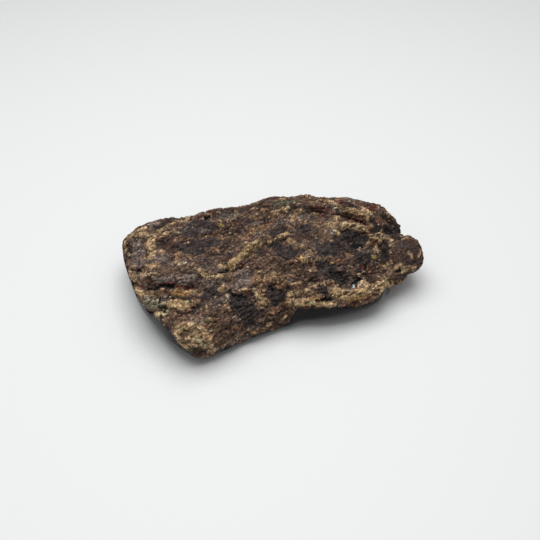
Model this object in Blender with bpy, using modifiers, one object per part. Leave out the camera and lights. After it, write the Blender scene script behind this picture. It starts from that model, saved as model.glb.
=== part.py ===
"""A raw amber hand piece: one slab of fossil resin with a rough crust over its top, back and right end.

The underside and the left end are ground and polished to a smooth rounded form, so the piece is built as it
is made: a rough lump is modelled first, and what lies outside the polished form is then taken away.

X runs along the piece, from the ground end to the rounded knob. Y runs from the notched front edge to the
back, and Z is up. The origin is at the middle of the base, on the surface that the piece lies on.
"""

import math

import bmesh
import bpy
import numpy as np
from mathutils import Vector, noise

MM = 0.001

# Driving dimensions, in millimetres: where each form tops out and where it would close below the base
CRUST_TOP = 19.0
CRUST_FOOT = -4.0
GROUND_TOP = 30.0
GROUND_FOOT = -0.7

# The widest line of the rough lump, in order round the piece from its ground left end: x, y, the level of
# the line there, and how square the section is above it and below it (2 is an ellipse, more is nearer a box)
CRUST_OUTLINE = (
    (-50.1, 17.0, 5.0, 4.5, 8.0), (-49.4, 24.2, 5.0, 5.0, 8.0), (-46.0, 27.6, 5.0, 5.5, 8.0),
    (-39.7, 30.2, 5.0, 6.0, 8.0), (-29.0, 30.2, 5.0, 6.5, 8.0), (-15.1, 29.8, 5.0, 6.5, 8.0),
    (-6.9, 30.6, 5.0, 7.0, 8.0), (1.3, 31.4, 5.0, 7.0, 8.0), (11.9, 32.0, 5.0, 7.0, 8.0),
    (20.6, 30.9, 5.0, 7.0, 8.0), (28.1, 26.9, 5.0, 7.0, 8.0), (37.1, 22.0, 5.0, 6.5, 8.0),
    (44.9, 17.8, 5.0, 6.0, 6.0), (47.2, 11.4, 5.0, 5.0, 4.0), (47.6, 5.6, 5.0, 3.6, 3.0),
    (41.6, -0.2, 6.0, 3.0, 2.6), (37.2, -5.6, 6.0, 2.6, 2.6), (35.0, -11.0, 6.0, 2.4, 2.6),
    (32.8, -15.2, 6.0, 2.2, 3.0), (31.4, -19.6, 6.0, 2.0, 6.0), (29.6, -21.4, 6.0, 1.8, 8.0),
    (22.2, -22.8, 6.0, 1.8, 8.0), (11.7, -22.8, 6.0, 1.8, 8.0), (2.4, -20.1, 5.0, 1.6, 8.0),
    (-1.9, -18.9, 4.6, 1.6, 8.0), (-4.9, -19.2, 5.0, 2.4, 8.0), (-10.3, -20.4, 3.0, 2.3, 8.0),
    (-20.4, -22.6, 3.0, 2.3, 8.0), (-26.4, -24.6, 3.0, 2.4, 8.0), (-32.0, -26.4, 3.0, 2.6, 8.0),
    (-37.5, -25.5, 4.5, 2.8, 8.0), (-39.5, -23.6, 5.0, 2.8, 8.0), (-42.4, -21.4, 5.0, 2.8, 8.0),
    (-44.5, -17.2, 5.0, 2.8, 8.0), (-46.2, -11.6, 5.0, 2.8, 8.0), (-50.6, -4.1, 5.0, 3.2, 8.0),
    (-50.4, 4.0, 5.0, 3.8, 8.0),
)
# The knob at the right end, in two lobes: the middle of each and its three half sizes
KNOB_LOBES = (
    ((41.4, -4.4, 10.2), (8.4, 8.4, 6.2)),
    ((37.0, -9.6, 9.0), (4.8, 4.2, 4.2)),
)
# The widest line of the polished form: x, y, the level of the line, and how square it is above and below
GROUND_OUTLINE = (
    (-49.4, 15.7, 13.0, 2.4, 2.9), (-49.0, 24.0, 13.0, 2.4, 2.9), (-48.0, 31.0, 13.0, 2.4, 2.9),
    (-38.0, 34.6, 12.0, 2.4, 2.9), (-22.0, 34.6, 10.0, 2.4, 2.9), (-6.0, 33.6, 8.0, 2.4, 2.9),
    (12.0, 33.8, 8.0, 2.4, 2.9), (24.0, 30.6, 8.0, 2.4, 2.9), (36.0, 25.0, 8.0, 2.4, 2.9),
    (45.0, 20.0, 8.0, 2.4, 2.9), (51.0, 13.0, 8.0, 2.4, 2.9), (53.0, 5.0, 8.0, 2.4, 2.9),
    (52.6, -3.0, 8.0, 2.4, 2.9), (48.6, -10.4, 8.0, 2.4, 2.9), (41.0, -14.6, 8.0, 2.4, 2.9),
    (32.6, -16.9, 8.0, 2.2, 2.4), (28.2, -20.2, 8.0, 2.2, 2.4), (21.0, -21.6, 8.0, 2.2, 2.4),
    (11.0, -21.5, 8.0, 2.2, 2.5), (2.6, -19.3, 8.0, 2.2, 3.4), (-1.6, -19.6, 8.0, 2.2, 4.4),
    (-5.2, -19.6, 8.0, 2.2, 5.0), (-16.2, -22.4, 8.0, 2.2, 4.0), (-27.6, -26.3, 8.0, 2.2, 3.4),
    (-32.4, -28.3, 8.0, 2.2, 2.9), (-35.7, -25.5, 8.0, 2.2, 2.9), (-40.1, -20.1, 8.5, 2.3, 2.9),
    (-43.7, -12.7, 9.5, 2.4, 2.9), (-47.1, -4.5, 11.0, 2.4, 2.9), (-48.7, 5.3, 13.0, 2.4, 2.9),
)

# Broad swells and hollows of the top: x, y, half length, half width, turn in degrees, height
SWELLS = (
    (-3.0, -7.0, 15.0, 9.0, 14.0, 1.8),
    (-12.0, 0.0, 12.0, 5.0, 38.0, 1.0),
    (-34.0, -23.0, 7.0, 5.0, -30.0, 1.6),
    (26.0, 14.0, 18.0, 6.0, -26.0, 1.9),
    (-28.0, 20.0, 14.0, 8.0, 0.0, 0.6),
    (25.6, 1.0, 9.0, 5.6, -12.0, -2.4),
    (15.5, -12.6, 6.0, 4.6, 30.0, -1.6),
    (-21.0, 8.0, 15.0, 5.0, 14.0, -0.9),
    (-21.0, -15.0, 9.0, 4.0, 12.0, -1.2),
    (-38.0, -6.0, 8.0, 4.0, 5.0, -1.4),
    (34.0, -18.0, 12.0, 8.0, -20.0, -2.0),
    (-45.0, 15.0, 6.0, 9.0, 0.0, -1.6),
    (24.0, -19.0, 10.0, 4.0, 4.0, -2.6),
)

# Narrow raised folds of the crust: the points they run through, half width, height
FOLDS = {
    "finger": (((-17.4, -5.6), (-12.0, 1.6), (-5.6, 4.2)), 1.7, 2.1),
    "arc": (((-4.5, 4.5), (2.8, 8.0), (6.0, 5.0), (6.6, -2.0), (5.9, -10.5)), 1.9, 1.2),
    "left arc": (((-26.7, -2.6), (-24.2, -6.0), (-20.8, -8.0)), 1.5, 1.0),
    "back rib": (((13.0, 18.0), (20.6, 15.2), (28.0, 9.8), (34.0, 9.0)), 1.6, 1.2),
    "middle rib": (((19.7, 8.4), (24.5, 6.0), (31.2, 3.4)), 1.7, 1.4),
    "horn": (((33.0, 1.2), (36.7, 0.3), (39.6, 0.8)), 1.5, 2.2),
    "nodule": (((31.6, -5.2), (31.9, -5.8)), 1.7, 1.9),
    "front ledge": (((0.0, -17.8), (8.1, -19.4), (16.8, -19.0), (24.0, -17.8), (30.0, -15.6)), 2.0, 1.6),
    "corner fold": (((-41.0, -14.4), (-37.4, -12.8), (-32.4, -14.8)), 2.2, 1.5),
    "left plate": (((-45.5, -5.6), (-43.0, -8.6)), 2.0, 1.0),
    "back chip": (((-24.0, 22.0), (-19.7, 24.2), (-15.5, 25.6)), 1.6, 1.3),
    "waist flake": (((-15.3, -21.9), (-10.2, -20.8), (-4.9, -19.4)), 1.5, 1.2),
}

# Cracks, grooves and pits: the points they run through, half width, depth
GROOVES = {
    "ledge crack": (((-47.0, 1.0), (-43.1, -3.2), (-38.4, -4.3), (-33.3, -6.5), (-28.5, -11.8)), 1.2, 1.3),
    "end crack": (((-49.0, 5.4), (-44.0, 4.6)), 1.0, 1.2),
    "left pits": (((-39.2, -6.7), (-40.0, -11.0)), 1.7, 2.3),
    "rib groove": (((18.5, 13.8), (26.0, 9.5), (31.1, 6.4)), 1.2, 1.1),
    "end pits": (((36.3, 8.0), (42.0, 9.0)), 1.9, 1.6),
    "end slope": (((43.0, 6.0), (40.0, 3.4)), 3.0, 1.0),
    "knob groove": (((46.0, 5.4), (39.0, 0.2), (35.3, -5.3), (34.2, -10.0)), 2.8, 1.5),
    "finger shade": (((-19.6, -2.4), (-17.4, -0.8), (-13.0, 4.4)), 1.4, 1.3),
    "arc hollow": (((0.9, -1.6), (3.0, 2.0)), 2.2, 1.4),
    "black pit": (((18.4, -15.1), (22.0, -14.4)), 1.4, 1.7),
    "red pit": (((26.2, -9.4), (27.8, -8.4)), 1.6, 1.5),
    "left eye": (((-30.4, 19.2), (-29.4, 19.2)), 1.3, 1.2),
    "back eye": (((22.6, 20.1), (23.6, 20.1)), 1.3, 1.1),
    "front notch": (((-4.6, -19.6), (0.4, -15.4), (2.6, -10.0)), 2.2, 1.2),
    "front gully": (((-22.0, -14.0), (-24.4, -17.4)), 2.0, 1.2),
}

# Broken plates of the crust, wide and small: how far apart, how high, and how much each plate slopes
PLATES = ((11.0, 1.6, 1.6), (4.6, 0.7, 0.9))
PLATE_STRETCH = 1.5
PLATE_TURN = Vector((math.cos(math.radians(18.0)), math.sin(math.radians(18.0))))
PLATE_DEPTH_SHARE = 0.5
STEP_SOFTNESS = 0.14
# How the plates' edges wander, and how their slopes and levels are spread, in the noise's own units
BEND_SCALE = 2.3
BEND_REACH = 0.22
LEAN_SCALE = 5.7
LEVEL_SCALE = 9.1

# Soft lumps under the plates: how far apart, how high, and how the finer ones follow
LUMP_SPREAD = 12.0
LUMP_HEIGHT = 0.8
LUMP_FADE = 1.0
LUMP_STEP = 2.1
LUMP_OCTAVES = 3

SEED_PLACE = Vector((31.0, 7.0, 19.0))
NOISE_OFFSETS = (Vector((0.0, 0.0, 0.0)), Vector((17.3, 4.1, 8.6)), Vector((5.9, 23.2, 11.7)))

# A slanted line that no two corners of the mesh share a place along, for putting them in a fixed order
ORDER_LINE = Vector((1.0, 0.37, 0.11))
WELD_GAP = 0.02

OUTLINE_STEPS = 10
FORM_TURNS = 144
FORM_RINGS = 72
LOBE_TURNS = 48
LOBE_RINGS = 24
SCULPT_GRID = 0.9
TRIANGLES = 9600

CRUST_COLOUR = (0.16, 0.105, 0.065, 1.0)
CRUST_ROUGHNESS = 0.85


def clear_scene():
    for obj in list(bpy.data.objects):
        bpy.data.objects.remove(obj, do_unlink=True)


def new_collection(name):
    collection = bpy.data.collections.new(name)
    bpy.context.scene.collection.children.link(collection)
    return collection


def polar_outline(points):
    """Angles and radii of a smooth closed curve through the points, and the three further values along it."""
    rows = np.array(points)
    curve = []
    for i in range(len(rows)):
        before, start, end, after = (rows[(i + k) % len(rows)] for k in (-1, 0, 1, 2))
        for t in np.arange(OUTLINE_STEPS) / OUTLINE_STEPS:
            curve.append(
                0.5
                * (
                    2 * start
                    + (end - before) * t
                    + (2 * before - 5 * start + 4 * end - after) * t**2
                    + (3 * start - before - 3 * end + after) * t**3
                )
            )
    curve = np.array(curve)
    angles = np.arctan2(curve[:, 1], curve[:, 0])
    order = np.argsort(angles)
    radii = np.hypot(curve[:, 0], curve[:, 1])
    return angles[order], radii[order], curve[order, 2], curve[order, 3], curve[order, 4]


def pebble(name, outline, top, foot, collection):
    """A closed rounded form with a given widest line, from a sphere whose sections become squarer ovals."""
    angles, *values = polar_outline(outline)
    mesh = bpy.data.meshes.new(name)
    shape = bmesh.new()
    bmesh.ops.create_uvsphere(shape, u_segments=FORM_TURNS, v_segments=FORM_RINGS, radius=1.0)
    for vert in shape.verts:
        across = min(1.0, math.hypot(vert.co.x, vert.co.y))
        angle = math.atan2(vert.co.y, vert.co.x)
        radius, level, above, below = (
            np.interp(angle, angles, value, period=2 * math.pi) for value in values
        )
        power, end = (above, top) if vert.co.z > 0 else (below, foot)
        share = across ** (2 / power)
        height = level + (end - level) * abs(vert.co.z) ** (2 / power)
        vert.co = Vector((radius * share * math.cos(angle), radius * share * math.sin(angle), height))
    shape.to_mesh(mesh)
    shape.free()
    obj = bpy.data.objects.new(name, mesh)
    collection.objects.link(obj)
    return obj


def fade(distance):
    """1 at the middle of a feature, falling smoothly to 0 at twice its half width."""
    share = max(0.0, 1.0 - (distance / 2) ** 2)
    return share * share


def swell_at(x, y):
    """Height of the broad swells and hollows together."""
    total = 0.0
    for middle_x, middle_y, half_length, half_width, turn, height in SWELLS:
        angle = math.radians(turn)
        dx, dy = x - middle_x, y - middle_y
        along = (dx * math.cos(angle) + dy * math.sin(angle)) / half_length
        across = (dy * math.cos(angle) - dx * math.sin(angle)) / half_width
        total += height * math.exp(-(along**2) - across**2)
    return total


def distance_to_line(x, y, points):
    """How far a place is from a line of several straight stretches."""
    place = Vector((x, y))
    gaps = []
    for start, end in zip(map(Vector, points), map(Vector, points[1:])):
        along = (place - start).dot(end - start) / (end - start).length_squared
        gaps.append((place - start.lerp(end, min(1.0, max(0.0, along)))).length)
    return min(gaps)


def folds_at(x, y):
    """Height of the folds, less the depth of the grooves."""
    total = 0.0
    for points, half_width, height in FOLDS.values():
        total += height * fade(distance_to_line(x, y, points) / half_width)
    for points, half_width, depth in GROOVES.values():
        total -= depth * fade(distance_to_line(x, y, points) / half_width)
    return total


def noise_vector(place):
    """Three separate noise values at one place."""
    return Vector([noise.noise(place + offset) for offset in NOISE_OFFSETS])


def plates_at(place, spread, height, tilt):
    """Height of broken plates of crust: each has its own level and slope, and they meet in small steps."""
    spot = place + SEED_PLACE
    along = spot.x * PLATE_TURN.x + spot.y * PLATE_TURN.y
    across = spot.y * PLATE_TURN.x - spot.x * PLATE_TURN.y
    where = Vector((along / PLATE_STRETCH, across, spot.z * PLATE_DEPTH_SHARE)) / spread
    where += noise_vector(where * BEND_SCALE) * BEND_REACH
    gaps, middles = noise.voronoi(where, distance_metric="DISTANCE")
    levels = []
    for middle in middles[:2]:
        lean = noise_vector(middle * LEAN_SCALE)
        away = where - middle
        levels.append(height * noise.noise(middle * LEVEL_SCALE) + tilt * (lean.x * away.x + lean.y * away.y))
    blend = min(1.0, (gaps[1] - gaps[0]) / STEP_SOFTNESS)
    return levels[0] * (0.5 + 0.5 * blend) + levels[1] * (0.5 - 0.5 * blend)


def lumps_at(place):
    return LUMP_HEIGHT * noise.fractal((place + SEED_PLACE) / LUMP_SPREAD, LUMP_FADE, LUMP_STEP, LUMP_OCTAVES)


def gridded(obj, size, collection):
    """The same form as an even grid of small faces."""
    remesh = obj.modifiers.new("even grid", "REMESH")
    remesh.mode = "VOXEL"
    remesh.voxel_size = size
    graph = bpy.context.evaluated_depsgraph_get()
    mesh = bpy.data.meshes.new_from_object(obj.evaluated_get(graph))
    even = bpy.data.objects.new(obj.name, mesh)
    collection.objects.link(even)
    bpy.data.objects.remove(obj, do_unlink=True)
    return even


def carve_crust(obj):
    """Moves each point of the lump to the crust's swells, folds, cracks, plates and lumps."""
    shape = bmesh.new()
    shape.from_mesh(obj.data)
    shape.normal_update()
    moves = []
    for vert in shape.verts:
        place, normal = vert.co, vert.normal
        up = max(0.0, normal.z)
        move = normal * (lumps_at(place) + sum(plates_at(place, *plates) for plates in PLATES))
        move.z += up * (swell_at(place.x, place.y) + folds_at(place.x, place.y))
        moves.append(move)
    for vert, move in zip(shape.verts, moves):
        vert.co += move
    shape.to_mesh(obj.data)
    shape.free()


def rough_lump(collection):
    """The lump as found, with its knob fused on."""
    lump = pebble("rough_lump", CRUST_OUTLINE, CRUST_TOP, CRUST_FOOT, collection)
    shape = bmesh.new()
    shape.from_mesh(lump.data)
    for middle, reach in KNOB_LOBES:
        lobe = bmesh.ops.create_uvsphere(shape, u_segments=LOBE_TURNS, v_segments=LOBE_RINGS, radius=1.0)
        bmesh.ops.scale(shape, verts=lobe["verts"], vec=reach)
        bmesh.ops.translate(shape, verts=lobe["verts"], vec=middle)
    shape.to_mesh(lump.data)
    shape.free()
    lump = gridded(lump, SCULPT_GRID, collection)
    carve_crust(lump)
    return lump


def ground_form(collection):
    """The form that the wheel leaves: rounded walls over a base that is flat in the middle."""
    form = pebble("ground_form", GROUND_OUTLINE, GROUND_TOP, GROUND_FOOT, collection)
    shape = bmesh.new()
    shape.from_mesh(form.data)
    bmesh.ops.bisect_plane(
        shape,
        geom=shape.verts[:] + shape.edges[:] + shape.faces[:],
        plane_co=(0.0, 0.0, 0.0),
        plane_no=(0.0, 0.0, -1.0),
        clear_outer=True,
    )
    rim = [edge for edge in shape.edges if edge.is_boundary]
    bmesh.ops.contextual_create(shape, geom=rim)
    shape.to_mesh(form.data)
    shape.free()
    form.hide_render = True
    form.display_type = "WIRE"
    return form


def material(name, colour, roughness):
    made = bpy.data.materials.new(name)
    made.use_nodes = True
    shader = made.node_tree.nodes["Principled BSDF"]
    shader.inputs["Base Color"].default_value = colour
    shader.inputs["Roughness"].default_value = roughness
    shader.inputs["Metallic"].default_value = 0.0
    made.diffuse_color = colour
    return made


def amber_piece(parts, cutters):
    """The lump ground to the polished form, in metres, over the middle of its base, in few enough faces."""
    lump = rough_lump(cutters)
    form = ground_form(cutters)
    cut = lump.modifiers.new("grind and polish", "BOOLEAN")
    cut.operation = "INTERSECT"
    cut.object = form
    graph = bpy.context.evaluated_depsgraph_get()
    mesh = bpy.data.meshes.new_from_object(lump.evaluated_get(graph))
    mesh.name = "amber"
    bpy.data.objects.remove(lump, do_unlink=True)

    shape = bmesh.new()
    shape.from_mesh(mesh)
    bmesh.ops.triangulate(shape, faces=shape.faces[:])
    shape.verts.sort(key=lambda vert: vert.co.dot(ORDER_LINE))
    shape.faces.sort(key=lambda face: face.calc_center_median().dot(ORDER_LINE))
    bmesh.ops.remove_doubles(shape, verts=shape.verts[:], dist=WELD_GAP)
    lows = [min(vert.co[axis] for vert in shape.verts) for axis in range(3)]
    highs = [max(vert.co[axis] for vert in shape.verts) for axis in range(3)]
    middle = Vector(((lows[0] + highs[0]) / 2, (lows[1] + highs[1]) / 2, lows[2]))
    bmesh.ops.translate(shape, verts=shape.verts[:], vec=-middle)
    bmesh.ops.scale(shape, verts=shape.verts[:], vec=(MM, MM, MM))
    shape.to_mesh(mesh)
    full = len(shape.faces)
    shape.free()

    piece = bpy.data.objects.new("amber", mesh)
    parts.objects.link(piece)
    thin = piece.modifiers.new("fewer faces", "DECIMATE")
    thin.ratio = TRIANGLES / full
    mesh.materials.append(material("weathered_crust", CRUST_COLOUR, CRUST_ROUGHNESS))
    mesh.shade_flat()
    return piece


def main():
    clear_scene()
    parts = new_collection("raw_amber_piece")
    cutters = new_collection("cutters")
    amber_piece(parts, cutters)


main()
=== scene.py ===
"""The looks of a raw amber hand piece: a rough crust over dark resin, ground smooth underneath.

The file is laid out as an add-on with one operator for each part of the picture, and it is run as a script.
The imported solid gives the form. The crust's finer relief, its colours and the ground face are made here.
The crust's patches are placed where the camera sees them on the solid, at pixels read off the photo.
Lengths in the tables below are millimetres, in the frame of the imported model.
"""

import math
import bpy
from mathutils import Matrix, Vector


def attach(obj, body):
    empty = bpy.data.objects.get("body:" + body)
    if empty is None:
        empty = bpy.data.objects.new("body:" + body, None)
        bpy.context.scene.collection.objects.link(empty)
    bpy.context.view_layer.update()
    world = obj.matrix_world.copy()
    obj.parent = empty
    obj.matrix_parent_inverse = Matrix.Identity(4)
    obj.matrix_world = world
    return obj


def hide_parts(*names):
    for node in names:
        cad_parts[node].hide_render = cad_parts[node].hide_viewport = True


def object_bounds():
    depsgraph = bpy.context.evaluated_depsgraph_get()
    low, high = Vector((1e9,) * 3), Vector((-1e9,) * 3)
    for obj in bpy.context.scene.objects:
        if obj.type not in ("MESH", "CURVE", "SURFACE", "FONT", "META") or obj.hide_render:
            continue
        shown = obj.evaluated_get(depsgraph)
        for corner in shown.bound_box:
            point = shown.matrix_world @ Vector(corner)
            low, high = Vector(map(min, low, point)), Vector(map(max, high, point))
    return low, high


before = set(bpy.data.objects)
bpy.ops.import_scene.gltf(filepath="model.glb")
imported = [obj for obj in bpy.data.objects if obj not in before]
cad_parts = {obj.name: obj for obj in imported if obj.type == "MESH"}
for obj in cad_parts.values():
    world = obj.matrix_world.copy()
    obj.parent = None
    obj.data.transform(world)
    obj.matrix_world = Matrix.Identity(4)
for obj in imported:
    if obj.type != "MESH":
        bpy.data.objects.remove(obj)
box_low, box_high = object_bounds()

from types import SimpleNamespace

import bmesh
import bpy
import numpy as np
from mathutils import Vector, noise
from mathutils.bvhtree import BVHTree

bl_info = {
    "name": "Raw Amber Piece",
    "version": (1, 0, 0),
    "blender": (4, 5, 0),
    "location": "3D View > Sidebar > Amber",
    "description": "Makes the crust, the ground face and the stage of a raw amber piece",
    "category": "Object",
}

NODE = "amber"
BODY = "root"
MM = 0.001
FULL_TURN = 2 * math.pi

# Where the solid's own outline tables are centred, in this frame
FORM_SHIFT = np.array((0.046, 3.143))
GROUND_TOP = 30.0
GROUND_FOOT = -0.7
OUTLINE_STEPS = 10
# The widest line of the ground form: x, y, the level of the line, and how square it is above and below
GROUND_OUTLINE = (
    (-49.4, 15.7, 13.0, 2.4, 2.9), (-49.0, 24.0, 13.0, 2.4, 2.9), (-48.0, 31.0, 13.0, 2.4, 2.9),
    (-38.0, 34.6, 12.0, 2.4, 2.9), (-22.0, 34.6, 10.0, 2.4, 2.9), (-6.0, 33.6, 8.0, 2.4, 2.9),
    (12.0, 33.8, 8.0, 2.4, 2.9), (24.0, 30.6, 8.0, 2.4, 2.9), (36.0, 25.0, 8.0, 2.4, 2.9),
    (45.0, 20.0, 8.0, 2.4, 2.9), (51.0, 13.0, 8.0, 2.4, 2.9), (53.0, 5.0, 8.0, 2.4, 2.9),
    (52.6, -3.0, 8.0, 2.4, 2.9), (48.6, -10.4, 8.0, 2.4, 2.9), (41.0, -14.6, 8.0, 2.4, 2.9),
    (32.6, -16.9, 8.0, 2.2, 2.4), (28.2, -20.2, 8.0, 2.2, 2.4), (21.0, -21.6, 8.0, 2.2, 2.4),
    (11.0, -21.5, 8.0, 2.2, 2.5), (2.6, -19.3, 8.0, 2.2, 3.4), (-1.6, -19.6, 8.0, 2.2, 4.4),
    (-5.2, -19.6, 8.0, 2.2, 5.0), (-16.2, -22.4, 8.0, 2.2, 4.0), (-27.6, -26.3, 8.0, 2.2, 3.4),
    (-32.4, -28.3, 8.0, 2.2, 2.9), (-35.7, -25.5, 8.0, 2.2, 2.9), (-40.1, -20.1, 8.5, 2.3, 2.9),
    (-43.7, -12.7, 9.5, 2.4, 2.9), (-47.1, -4.5, 11.0, 2.4, 2.9), (-48.7, 5.3, 13.0, 2.4, 2.9),
)

# How each finish of the crust looks: its gloss, and how far the grain breaks it up
FINISHES = {
    "tan": (0.0, 0.5),
    "sand": (0.0, 0.12),
    "buff": (0.0, 0.25),
    "ochre": (0.05, 0.75),
    "rust": (0.35, 0.45),
    "red": (0.55, 0.3),
    "umber": (0.1, 0.2),
    "brown": (0.05, 0.35),
    "slate": (0.05, 0.2),
    "dark": (0.1, 0.2),
    # near black painted shade for the deep hollows, the grooves and the shaded slope by the knob
    "hollow_shade": (0.1, 0.3),
    # near black: painted shade in cracks, gaps and pits, with a few dark specks
    "black": (0.15, 0.0),
    # dark wet resin in pits, with painted shade of the hollow in its black
    "pit": (0.9, 0.0),
    # a painted highlight: the light's glint on wet resin, painted pale onto the crust
    "glint": (0.3, 0.0),
    "olive": (0.05, 0.1),
    "moss": (0.05, 0.35),
    "honey": (0.45, 0.2),
    "yellow": (0.1, 0.15),
}

# The camera that fits the photo, and the photo's side in pixels
CAMERA_TURN = math.radians(-15.0)
CAMERA_TILT = math.radians(42.0)
CAMERA_DISTANCE = 250.0
CAMERA_TARGET = Vector((-2.946, -2.793, 10.0))
LENS = 50.0
SENSOR = 36.0
PHOTO_SIDE = 540
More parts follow.
